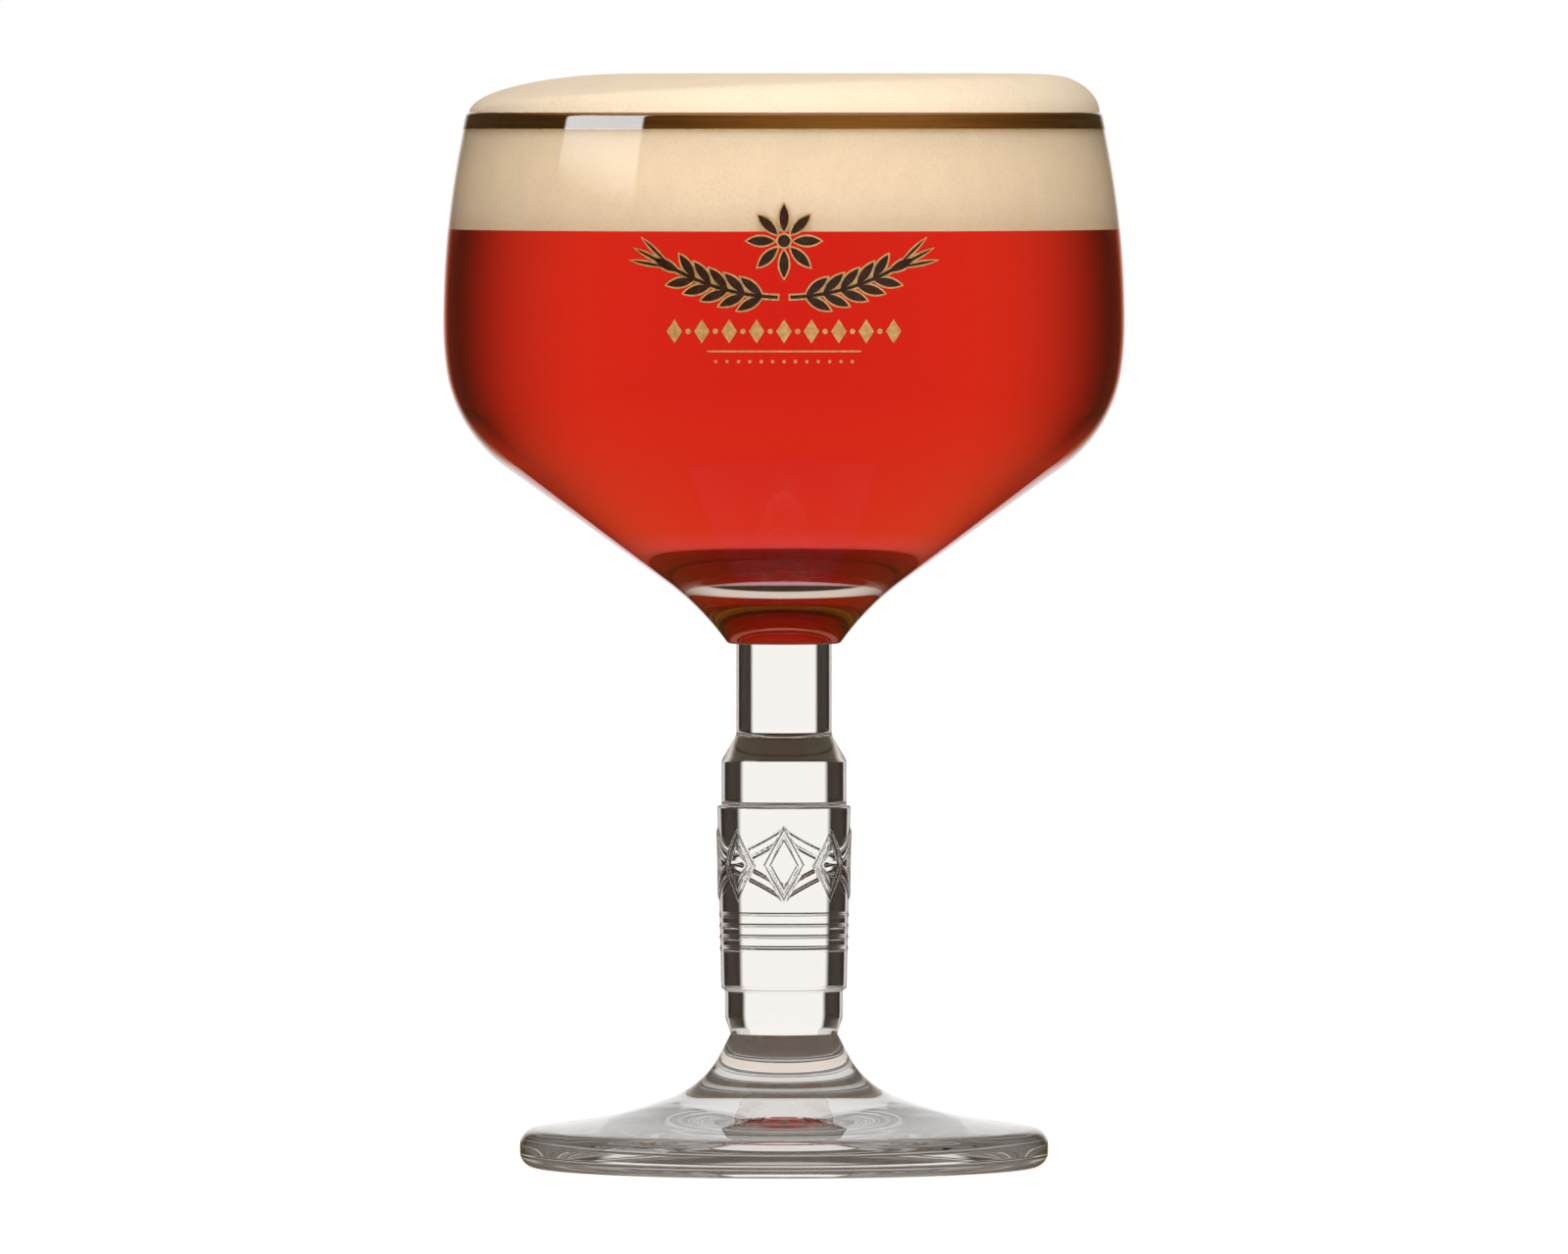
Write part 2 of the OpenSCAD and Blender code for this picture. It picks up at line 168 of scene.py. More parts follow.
# Matte faces are lit from the front and from above. The camera itself sees plain white.
even_least, even_front, even_above = 0.08, 3.4, 1.1
even = (even_least + even_front * air.math("MAXIMUM", 0 - backward, 0) ** 4
        + even_above * air.math("MAXIMUM", upward, 0))
white, dim_warm, even_white, dim_to_bright = (
    (1, 1, 1, 1), (1, 0.7, 0.35, 1), (1, 0.985, 0.96, 1), (0.1, 0.9))
is_mirrored = path.out("Is Reflection Ray")
scattered = air.math("GREATER_THAN", path.out("Diffuse Depth"), 0.5)
strength = 1 + (mirrored - 1) * is_mirrored
colour = is_mirrored.blend(seen_through, mirrored.fade(*dim_to_bright).blend(dim_warm, white))
strength = strength + (even - strength) * scattered
colour = scattered.blend(colour, even_white)
straight = path.out("Is Camera Ray")
strength = strength + (1 - strength) * straight
colour = straight.blend(colour, white)
air.node("ShaderNodeOutputWorld", sockets={
    "Surface": air.node("ShaderNodeBackground", sockets={"Color": colour, "Strength": strength})})
bpy.context.scene.world = studio
bpy.context.scene.view_settings.view_transform = "Standard"
cycles = bpy.context.scene.cycles
cycles.max_bounces = cycles.transmission_bounces = cycles.transparent_max_bounces = 32
cycles.glossy_bounces = 16
cycles.blur_glossy = 0

table_reach, table_gap, table_sides = 0.35, 0.00005, 96
table_mesh = bpy.data.meshes.new("table")
table_mesh.from_pydata(
    [(table_reach * math.cos(2 * math.pi * i / table_sides),
      table_reach * math.sin(2 * math.pi * i / table_sides), -table_gap)
     for i in range(table_sides)], [], [range(table_sides)])
table = bpy.data.objects.new("table", table_mesh)
bpy.context.scene.collection.objects.link(table)
table_paint = bpy.data.materials.new("table paint")
table_paint.use_nodes = True
table_paint.node_tree.nodes.clear()
coat = Flow(table_paint.node_tree)
path = coat.node("ShaderNodeLightPath")
place = parts_of(coat.node("ShaderNodeTexCoord", out="Object"))
turn = coat.math("ABSOLUTE", coat.math("ARCTAN2", place, place.out("Y")))
from_axis = coat.math("SQRT", place * place + place.out("Y") * place.out("Y"))

# For rays that leave the glass the white table carries painted shade: it is darker far behind
# the glass, under the foot and in a ring round it, a painted shadow of the foot and painted dark
# surroundings, the more so the more often they were mirrored on the way. Mirrored by a face it
# is a painted brown shade. The camera sees it a little brighter than it is lit.
behind_turn, behind_reach, behind_shade = (0.75, 1.15), (0.05, 0.1), (0.05, 0.99)
foot_turn, foot_reach, foot_shade = (0.4, 1.0), (0.034, 0.042), (0.6, 0.15)
ring_reach, ring_shade, open_shade, most_shade = (0.044, 0.054), 0.8, 0.15, 0.85
table_white, table_painted_shade = (0.98, 0.92, 0.85, 1), (0.035, 0.023, 0.01, 1)
mirrored_shade_reach, near_mirrored_shade, far_mirrored_shade = (0.06, 0.3), (0.17, 0.12, 0.04, 1), (0.05, 0.035, 0.015, 1)
camera_lift = 0.4
far_behind = turn.fade(*behind_turn, 1, 0) * from_axis.fade(*behind_reach, *behind_shade)
under_foot = from_axis.fade(*foot_reach, 1, 0)
shaded = far_behind + turn.fade(*foot_turn, *foot_shade) * under_foot
near_foot = from_axis.fade(*ring_reach, 1, 0)
times_mirrored = coat.math("MINIMUM", path.out("Glossy Depth"), 2)
shaded = shaded + (open_shade + ring_shade * near_foot) * times_mirrored
shaded = coat.math("MAXIMUM", coat.math("MINIMUM", shaded, most_shade), far_behind)
shaded = shaded * path.out("Is Transmission Ray")
seen_by_camera = path.out("Is Camera Ray")
# Painted brown shade where a face mirrors the table, lighter brown near the glass.
table_colour = (path.out("Is Reflection Ray") * (1 - seen_by_camera)).blend(
    shaded.blend(table_white, table_painted_shade),
    from_axis.fade(*mirrored_shade_reach).blend(near_mirrored_shade, far_mirrored_shade))
matte = coat.node("ShaderNodeBsdfDiffuse", sockets={"Color": table_colour})
lifted = coat.node("ShaderNodeEmission", sockets={"Strength": camera_lift * seen_by_camera})
coat.node("ShaderNodeOutputMaterial", sockets={
    "Surface": coat.node("ShaderNodeAddShader", sockets={0: matte, 1: lifted})})
table_mesh.materials.append(table_paint)


# Foot
# Pressed soda-lime glass: a disc with a round edge, whose top sweeps up to the waist. It
# stands on a narrow ring, with the glass inside the ring hollowed so that it can't rock.
def way(deg):
    """The unit step in a direction, in degrees up from level."""
    return math.cos(math.radians(deg)), math.sin(math.radians(deg))


def out_from(middle, reach, deg):
    """The point at a distance from another, in a direction."""
    return middle[0] + reach * way(deg)[0], middle[1] + reach * way(deg)[1]


def arc(middle, radius, start, end, step=0.5):
    """Points of an arc from one angle to another, step mm apart or 4 degrees at most."""
    count = max(2, math.ceil(abs(end - start) / 4),
                math.ceil(abs(math.radians(end - start)) * radius / step))
    return [out_from(middle, radius, start + (end - start) * i / count)
            for i in range(count + 1)]


def bend(before, at, after, radius, step):
    """The arc that rounds the corner at a point between two others."""
    u = (before[0] - at[0], before[1] - at[1])
    v = (after[0] - at[0], after[1] - at[1])
    u = (u[0] / math.hypot(*u), u[1] / math.hypot(*u))
    v = (v[0] / math.hypot(*v), v[1] / math.hypot(*v))
    half = math.degrees(math.acos(u[0] * v[0] + u[1] * v[1])) / 2
    both = (u[0] + v[0], u[1] + v[1])
    reach = radius / way(half)[1] / math.hypot(*both)
    middle = (at[0] + both[0] * reach, at[1] + both[1] * reach)
    side = -1 if u[0] * v[1] - u[1] * v[0] > 0 else 1
    start = math.degrees(math.atan2(u[0], -u[1]) if side > 0 else math.atan2(-u[0], u[1]))
    return arc(middle, radius, start, start + side * (180 - 2 * half), step)


def rounded(rows, step=0.35):
    """An outline from rows of radius, height and corner radius."""
    points = []
    for i, (r, z, radius) in enumerate(rows):
        points += (bend(rows[i - 1][:2], (r, z), rows[i + 1][:2], radius, step)
                   if radius else [(r, z)])
    return points


same_mm, same_m = 1e-6, 1e-6


def filled(points, step_at):
    """The same outline with more points on its straight stretches. Their step in mm is
    given, or a function that says it from both ends of a stretch."""
    made = [points[0]]
    for p, q in zip(points, points[1:]):
        gap = math.hypot(q[0] - p[0], q[1] - p[1])
        count = max(1, math.ceil(gap / (step_at(p, q) if callable(step_at) else step_at)))
        if gap > same_mm:
            made += [(p[0] + (q[0] - p[0]) * i / count, p[1] + (q[1] - p[1]) * i / count)
                     for i in range(1, count + 1)]
    return made


def outline_mesh(name, points, joints=(), wetted=()):
    """A chain of points in metres; joint is 1 where glass is fused and -1 where beer wets it."""
    mesh = bpy.data.meshes.new(name)
    mesh.from_pydata([(r / 1000, 0, z / 1000) for r, z in points],
                     [(i, i + 1) for i in range(len(points) - 1)], [])
    joint = mesh.attributes.new("joint", "FLOAT", "POINT")
    for i, (r, z) in enumerate(points):
        fused = any(abs(z - height) < same_mm and r < reach + same_mm
                    for height, reach in joints)
        joint.data[i].value = fused - (i in wetted)
    return mesh


def add_inputs(tree, rows):
    """Named inputs for a Geometry Nodes tree, and its geometry in and out."""
    tree.interface.new_socket("Geometry", in_out="INPUT", socket_type="NodeSocketGeometry")
    for name, kind in rows:
        tree.interface.new_socket(name, in_out="INPUT", socket_type="NodeSocket" + kind)
    tree.interface.new_socket("Geometry", in_out="OUTPUT", socket_type="NodeSocketGeometry")
    return Flow(tree).node("NodeGroupInput")


def turned_tree(crease=math.radians(35), marked_from=0.99):
    """Turns an outline round the axis, as glass is turned in its mould."""
    tree = bpy.data.node_groups.new("turned", "GeometryNodeTree")
    given = add_inputs(tree, [("Around", "Int"), ("Material", "Material"),
                              ("Joint material", "Material"), ("Wet material", "Material")])
    chain, around = given.out("Geometry"), given.out("Around")
    count = given.node("GeometryNodeAttributeDomainSize", sockets={0: chain})
    grid = given.node("GeometryNodeMeshGrid", sockets={
        "Vertices X": around + 1, "Vertices Y": count})
    index = given.node("GeometryNodeInputIndex")
    row = given.math("FLOORED_MODULO", index, count)
    column = given.math("FLOOR", index / count)
    place = given.node("GeometryNodeInputPosition")
    spot = given.node("GeometryNodeSampleIndex", {"data_type": "FLOAT_VECTOR"}, {
        0: chain, "Value": place, "Index": row})
    parts = parts_of(spot)
    flag = given.node("GeometryNodeInputNamedAttribute", {"data_type": "FLOAT"}, {0: "joint"})
    joint = given.node("GeometryNodeSampleIndex", {"data_type": "FLOAT"}, {
        0: chain, "Value": flag, "Index": row})
    angle = column / around * (2 * math.pi)
    ring = given.node("ShaderNodeCombineXYZ", sockets={
        0: parts * given.math("COSINE", angle), 1: parts * given.math("SINE", angle),
        2: parts.out("Z")})
    marked = given.node("GeometryNodeStoreNamedAttribute", {"data_type": "FLOAT"}, {
        "Geometry": grid, "Name": "joint", "Value": joint})
    moved = given.node("GeometryNodeSetPosition", sockets={0: marked, "Position": ring})
    closed = given.node("GeometryNodeMergeByDistance", sockets={0: moved, "Distance": same_m})
    bend_at = given.node("GeometryNodeInputMeshEdgeAngle")
    hard = given.math("GREATER_THAN", bend_at, crease)
    smooth = given.node("GeometryNodeSetShadeSmooth", sockets={0: closed, "Shade Smooth": True})
    smooth = given.node("GeometryNodeSetShadeSmooth", {"domain": "EDGE"}, {
        0: smooth, "Selection": hard, "Shade Smooth": False})
    plain = given.node("GeometryNodeRealizeInstances", sockets={0: smooth})
    finished = given.node("GeometryNodeSetMaterial", sockets={
        0: plain, "Material": given.out("Material")})
    finished = given.node("GeometryNodeSetMaterial", sockets={
        0: finished, "Selection": given.math("GREATER_THAN", flag, marked_from),
        "Material": given.out("Joint material")})
    finished = given.node("GeometryNodeSetMaterial", sockets={
        0: finished, "Selection": given.math("LESS_THAN", flag, -marked_from),
        "Material": given.out("Wet material")})
    given.node("NodeGroupOutput", sockets={0: finished})
    return tree


turned = turned_tree()


def shaped(name, mesh, steps):
    """The mesh after its Geometry Nodes steps, as a plain object."""
    rough = bpy.data.objects.new(name + "_rough", mesh)
    bpy.context.scene.collection.objects.link(rough)
    for tree, values in steps:
        modifier = rough.modifiers.new(tree.name, "NODES")
        modifier.node_group = tree
        for item in tree.interface.items_tree:
            if item.in_out == "INPUT" and item.name in values:
                modifier[item.identifier] = values[item.name]
    result = bpy.data.meshes.new_from_object(
        rough.evaluated_get(bpy.context.evaluated_depsgraph_get()))
    bpy.data.objects.remove(rough)
    if "joint" in result.attributes:
        result.attributes.remove(result.attributes["joint"])
    piece = bpy.data.objects.new(name, result)
    bpy.context.scene.collection.objects.link(piece)
    return piece


def finish_of(name, **values):
    """A material with one Principled shader, whose sockets have these values."""
    material = bpy.data.materials.new(name)
    material.use_nodes = True
    shader = material.node_tree.nodes["Principled BSDF"]
    for socket, value in values.items():
        shader.inputs[socket.replace("_", " ")].default_value = value
    return material


def feed(material, **values):
    """Links that vary a finish over the surface."""
    shader = material.node_tree.nodes["Principled BSDF"]
    for socket, value in values.items():
        material.node_tree.links.new(value.socket, shader.inputs[socket.replace("_", " ")])


glass_ior = 1.5
polished = {"Base_Color": (0.985, 0.985, 0.98, 1), "Roughness": 0.0, "Transmission_Weight": 1.0}
clear_glass = finish_of("clear glass", IOR=glass_ior, **polished)
inside_glass = finish_of("inside the glass", Base_Color=white, Alpha=0.0)

foot_h, foot_r, waist_r = 20.2, 40.1, 8.1
edge_h, edge_top_r, edge_low_r = 5.5, 2.6, 2.2
apron_r, apron_deg, brow_deg, collar_deg = 23.9, 8.5, 21, 63
collar_bend, brow_bend, stand_w, kick_h = 14, 56, 4, 2.2
hollow_r = foot_r - edge_low_r - stand_w
brow = (apron_r, edge_h + (foot_r - apron_r) * math.tan(math.radians(apron_deg)))


def crossing(p, d, q, e):
    """Where a line from p along d meets a line from q along e."""
    reach = ((q[0] - p[0]) * e[1] - (q[1] - p[1]) * e[0]) / (d[0] * e[1] - d[1] * e[0])
    return p[0] + d[0] * reach, p[1] + d[1] * reach


collar = crossing((waist_r, foot_h), way(-collar_deg), brow, way(180 - brow_deg))
kick_r = (hollow_r ** 2 + kick_h ** 2) / (2 * kick_h)
kick_deg = math.degrees(math.asin(hollow_r / kick_r))
foot_outline = [(0, foot_h)] + rounded([
    (waist_r, foot_h, 0), (*collar, collar_bend), (*brow, brow_bend),
    (foot_r, edge_h, edge_top_r), (foot_r, 0, edge_low_r), (hollow_r, 0, 0)]) \
    + arc((0, kick_h - kick_r), kick_r, 90 - kick_deg, 90, step=0.8)
foot = shaped("foot_glass", outline_mesh(
    "foot", filled(foot_outline, 1.0)[::-1], [(foot_h, waist_r)]),
    [(turned, {"Around": 288, "Material": clear_glass, "Joint material": inside_glass})])
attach(foot, "root")
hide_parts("foot")

# Stem
# A solid column pressed in a two-part mould: neck, sloping shoulder, barrel, and a sleeve
# with raised lozenges and rings. Both its ends are fused to the glass they meet.
base_z, neck_r, neck_h, sleeve_drop, sleeve_h = 79.4, 7.25, 13.8, 24.5, 27.9
neck_z, sleeve_z = base_z - neck_h, base_z - sleeve_drop
sleeve_end_z = sleeve_z - sleeve_h
barrel_r, shoulder_h, shoulder_bend = 9.5, 3.9, 1.5
sleeve_r, sleeve_end_r, sleeve_bend = 10.15, 9.55, 0.45
tail_r, waist_h = 8.95, 2.6
lozenge_count, lozenge_w, lozenge_h, lozenge_drop = 8, 6.4, 11.5, 3.2
relief_h, relief_bevel, sleeve_skin = 0.2, 0.5, 0.3
lozenge_z = sleeve_z - lozenge_drop - lozenge_h / 2
ring_count, ring_pitch, ring_w, ring_drop = 4, 1.7, 0.5, 2
ring_z = lozenge_z - lozenge_h / 2 - ring_drop


def depth_in_lozenge(flow, spot, count, wide, high, middle):
    """How far a place on the sleeve lies inside the edge of the nearest lozenge."""
    radius = flow.math("SQRT", spot * spot + spot.out("Y") * spot.out("Y"))
    pitch = 2 * math.pi / count
    turns = flow.math("ARCTAN2", spot, 0 - spot.out("Y")) / pitch
    off = flow.math("ABSOLUTE", turns - flow.math("ROUND", turns)) * pitch * radius
    rise = flow.math("ABSOLUTE", spot.out("Z") - middle)
    half_w, half_h = wide / 2, high / 2
    return (1 - off / half_w - rise / half_h) * (half_w * half_h / flow.math(
        "SQRT", half_w * half_w + half_h * half_h))


def relief_tree(groove_at=1.9, groove_half=0.8, groove_deep=0.3, ring_rise=0.35):
    """Raises lozenges and rings on the sleeve, with narrow bevels and a groove inside each
    lozenge, whose place and width are in bevels and whose depth is a share of the relief."""
    tree = bpy.data.node_groups.new("pressed relief", "GeometryNodeTree")
    given = add_inputs(tree, [
        ("Lozenges", "Int"), ("Lozenge width", "Float"), ("Lozenge height", "Float"),
        ("Lozenge middle", "Float"), ("Relief", "Float"), ("Bevel", "Float"),
        ("Rings", "Int"), ("Ring pitch", "Float"), ("Ring width", "Float"),
        ("First ring", "Float")])
    spot = parts_of(given.node("GeometryNodeInputPosition"))
    x, y, z = spot, spot.out("Y"), spot.out("Z")
    radius = given.math("SQRT", x * x + y * y)
    inward = depth_in_lozenge(given, spot, given.out("Lozenges"), given.out("Lozenge width"),
                              given.out("Lozenge height"), given.out("Lozenge middle"))
    bevel = given.out("Bevel")
    lozenge = (inward / bevel).fade(0, 1)
    groove = given.math("ABSOLUTE", inward / bevel - groove_at)
    groove = groove.fade(0, groove_half, groove_deep, 0)
    height = (lozenge - groove) * given.out("Relief")
    steps = (given.out("First ring") - z) / given.out("Ring pitch")
    nearest = given.math("MAXIMUM", given.math(
        "MINIMUM", given.math("ROUND", steps), given.out("Rings") - 1), 0)
    away = (steps - nearest) * given.out("Ring pitch")
    half = given.out("Ring width") / 2
    ring = given.math("SQRT", given.math("MAXIMUM", half * half - away * away, 0)) * ring_rise
    height = given.math("MAXIMUM", height, ring)
    push = given.node("ShaderNodeCombineXYZ", sockets={
        0: x / radius * height, 1: y / radius * height})
    on_sleeve = given.math("GREATER_THAN", radius, (sleeve_end_r - sleeve_skin) / 1000)
    moved = given.node("GeometryNodeSetPosition", sockets={
        0: given.out("Geometry"), "Selection": on_sleeve, "Offset": push})
    given.node("NodeGroupOutput", sockets={0: moved})
    return tree


def stem_step(p, q, on_sleeve=0.14, elsewhere=0.7):
    """Close steps where the relief needs them."""
    inside = min(p[1], q[1]) > sleeve_end_z and max(p[1], q[1]) < sleeve_z
    return on_sleeve if inside else elsewhere


pressed_glass = finish_of("pressed glass", IOR=glass_ior, **polished)
flow = Flow(pressed_glass.node_tree)
inward = depth_in_lozenge(flow, parts_of(flow.node("ShaderNodeTexCoord", out="Object")),
                          lozenge_count, lozenge_w / 1000, lozenge_h / 1000, lozenge_z / 1000)
outer_line_at, inner_line_at, line_half, line_rise = 0.0002, 0.001, 0.0002, 0.0004
outer_line, inner_line = (flow.math("ABSOLUTE", inward - at).fade(0, line_half, 1, 0)
                          for at in (outer_line_at, inner_line_at))
feed(pressed_glass, Normal=flow.node("ShaderNodeBump", sockets={
    "Strength": 1.0, "Distance": line_rise, "Height": outer_line + inner_line}))
stem_outline = rounded([
    (waist_r, foot_h, 0), (tail_r, foot_h + waist_h, shoulder_bend),
    (tail_r, sleeve_end_z, sleeve_bend), (sleeve_end_r, sleeve_end_z, sleeve_bend),
    (sleeve_r, sleeve_z, sleeve_bend), (barrel_r, sleeve_z, sleeve_bend / 2),
    (barrel_r, neck_z - shoulder_h, shoulder_bend), (neck_r, neck_z, shoulder_bend),
    (neck_r, base_z, 0)], step=0.15)
stem_outline = filled([(0, foot_h)] + stem_outline + [(0, base_z)], stem_step)
stem = shaped("stem_glass", outline_mesh(
    "stem", stem_outline, [(foot_h, waist_r), (base_z, neck_r)]),
    [(turned, {"Around": 256, "Material": pressed_glass, "Joint material": inside_glass}),
     (relief_tree(), {
         "Lozenges": lozenge_count, "Lozenge width": lozenge_w / 1000,
         "Lozenge height": lozenge_h / 1000, "Lozenge middle": lozenge_z / 1000,
         "Relief": relief_h / 1000, "Bevel": relief_bevel / 1000, "Rings": ring_count,
         "Ring pitch": ring_pitch / 1000, "Ring width": ring_w / 1000,
         "First ring": ring_z / 1000})])
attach(stem, "root")
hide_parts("stem")

# Bowl
# Blown glass with a wall of 2 mm. It narrows to the fire-polished lip, turns into a cone
# below the belly, and ends in 13 mm of solid glass that is fused to the stem.
belly_r, rim_in, belly_z, rim_z = 51.75, 3.65, 128.0, 160.0
wall, lip_r = 2.1, 0.8
roll_r, roll_deg, turn_r, hollow_bend, hollow_deg = 50, 8, 22, 40, 54
base_r, bead_r, well_base = 8.8, 0.8, 13
wall_r = ((rim_z - belly_z) ** 2 + rim_in ** 2) / (2 * rim_in)
wall_c = (belly_r - wall_r, belly_z)
lip_deg = math.degrees(math.asin((rim_z - lip_r - belly_z) / (wall_r - lip_r)))
lip_c = out_from(wall_c, wall_r - lip_r, lip_deg)
lip_in = lip_c[0] - (belly_r - wall)
inner_r = (lip_in ** 2 + (lip_c[1] - belly_z) ** 2 - lip_r ** 2) / (2 * (lip_r - lip_in))
inner_c = (belly_r - wall - inner_r, belly_z)
lip_in_deg = math.degrees(math.atan2(lip_c[1] - inner_c[1], lip_c[0] - inner_c[0]))
roll_c = (belly_r - roll_r, belly_z)
turn_c = out_from(roll_c, roll_r - turn_r, -roll_deg)
bead_deg = hollow_deg - 90
bead_c = (base_r - bead_r * way(bead_deg)[0], base_z + bead_r)
hollow_c = out_from(bead_c, bead_r + hollow_bend, bead_deg)
across = (hollow_c[0] - turn_c[0], hollow_c[1] - turn_c[1])
cone_deg = math.degrees(math.atan2(across[1], across[0])
                        + math.acos((turn_r + hollow_bend) / math.hypot(*across)))
cone_reach = turn_c[0] * way(cone_deg)[0] + turn_c[1] * way(cone_deg)[1] + turn_r - wall
well_z = base_z + well_base
well_r = (cone_reach / way(cone_deg)[1] - well_z) * way(cone_deg)[1] / (1 + way(cone_deg)[1])
well_c = (0, well_z + well_r)


def outside_wall(grow=0.0):
    """The bowl's outside from the lower turn to the lip, moved out by grow."""
    return (arc(turn_c, turn_r + grow, cone_deg, -roll_deg)
            + arc(roll_c, roll_r + grow, -roll_deg, 0)
            + arc(wall_c, wall_r + grow, 0, lip_deg, step=0.6))


def inside_wall(grow=0.0):
    """The bowl's inside from the lip down to the well's middle, moved out by grow."""
    return (arc(inner_c, inner_r + grow, lip_in_deg, 0, step=0.6)
            + arc(roll_c, roll_r - wall + grow, 0, -roll_deg)
            + arc(turn_c, turn_r - wall + grow, -roll_deg, cone_deg)
            + arc(well_c, well_r + grow, cone_deg, -90))


bowl_outline = ([(0, base_z), (neck_r, base_z)]
                + arc(bead_c, bead_r, -90, bead_deg, step=0.12)
                + arc(hollow_c, hollow_bend, bead_deg + 180, cone_deg + 180)
                + outside_wall() + arc(lip_c, lip_r, lip_deg, lip_in_deg + 180, step=0.1)
                + inside_wall())
bowl_outline = filled(bowl_outline, 1.0)
beer_z, wet_over, well_slack, beer_ior = 141.9, 1, 0.01, 1.34
wetted = [i for i, (r, z) in enumerate(bowl_outline)
          if z < beer_z + wet_over and i > len(bowl_outline) / 2 and z > well_z - well_slack]
wet_glass = finish_of("glass under beer", IOR=glass_ior / beer_ior, **polished)
bowl = shaped("bowl_glass", outline_mesh("bowl", bowl_outline, [(base_z, neck_r)], wetted),
              [(turned, {"Around": 240, "Material": clear_glass,
                         "Joint material": inside_glass, "Wet material": wet_glass})])
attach(bowl, "root")
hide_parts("bowl")

# Rim band
# Bright gold, brushed round the outside of the lip as a paint and fired on. It shines as
# polished metal, with the brush's fine streaks round it and a thin pale lower edge.
film, band_w, band_lip_deg = 0.12, 2.0, 60
band_deg = lip_deg - math.degrees(band_w / wall_r)
gold_band = finish_of(
    "fired gold", Base_Color=(0.44, 0.19, 0.04, 1), Metallic=1.0, Roughness=0.25,
    Coat_Weight=1.0, Coat_Roughness=0.0, Coat_IOR=2.4)
flow = Flow(gold_band.node_tree)
spots = flow.node("ShaderNodeTexCoord", out="Object")
along_band, streak_span, streak_rough = (60, 60, 4000), (0.3, 0.7), (0.2, 0.32)
dark_gold, light_gold, thin_gold = (
    (0.37, 0.155, 0.03, 1), (0.5, 0.22, 0.045, 1), (0.62, 0.44, 0.16, 1))
thin_below = (0.15745, 0.1576)
streaks = flow.node("ShaderNodeTexNoise", sockets={
    "Vector": flow.node("ShaderNodeMapping", sockets={0: spots, "Scale": along_band}),
    "Scale": 1.0, "Detail": 3.0})
bright = streaks.fade(*streak_span).blend(dark_gold, light_gold)
thin_edge = parts_of(spots).out("Z").fade(*thin_below, 1, 0)
feed(gold_band, Base_Color=thin_edge.blend(bright, thin_gold), Metallic=1 - thin_edge,
     Roughness=streaks.fade(*streak_span, *streak_rough))
band_outline = (arc(wall_c, wall_r + film, band_deg, lip_deg, step=0.3)
                + arc(lip_c, lip_r + film, lip_deg, band_lip_deg, step=0.1)
                + arc(lip_c, lip_r, band_lip_deg, lip_deg, step=0.1)
                + arc(wall_c, wall_r, lip_deg, band_deg, step=0.3))
band_outline = band_outline + band_outline[:1]
band = shaped("gold_band", outline_mesh("band", filled(band_outline, 1.0)),
              [(turned, {"Around": 288, "Material": gold_band})])
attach(band, "root")
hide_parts("rim_band")

# Print
# A rosette between two ears of barley in dark brown enamel, over gold that shows as an
# edging, and a row of gold lozenges and dots with a rule. Each layer is printed and fired.
print_drop = 19.2
print_z = rim_z - print_drop
rosette_d, petal_count = 11, 8
grain_pairs, grain_l, grain_w, grain_deg = 5, 4.2, 1.3, 34
ear_r, ear_from_deg, ear_step_deg, ear_drop = 34, 5.5, 4.4, 8.4
stalk_w, stalk_from_deg, stalk_bars, awn_l, awn_w, edging = 0.5, 1.6, 14, 5.2, 0.4, 0.26
row_drop, row_w, row_count, row_h, row_lozenge_w, dot_d = 13.5, 35, 9, 3.6, 2.3, 0.8
rule_w, rule_t, rule_drop, rule_bars = 23, 0.25, 3.1, 12
speck_count, speck_d, speck_pitch, speck_drop = 13, 0.5, 1.7, 1.4
gold_film = 0.07
LEAF, LOZENGE, DOT, BAR = range(4)


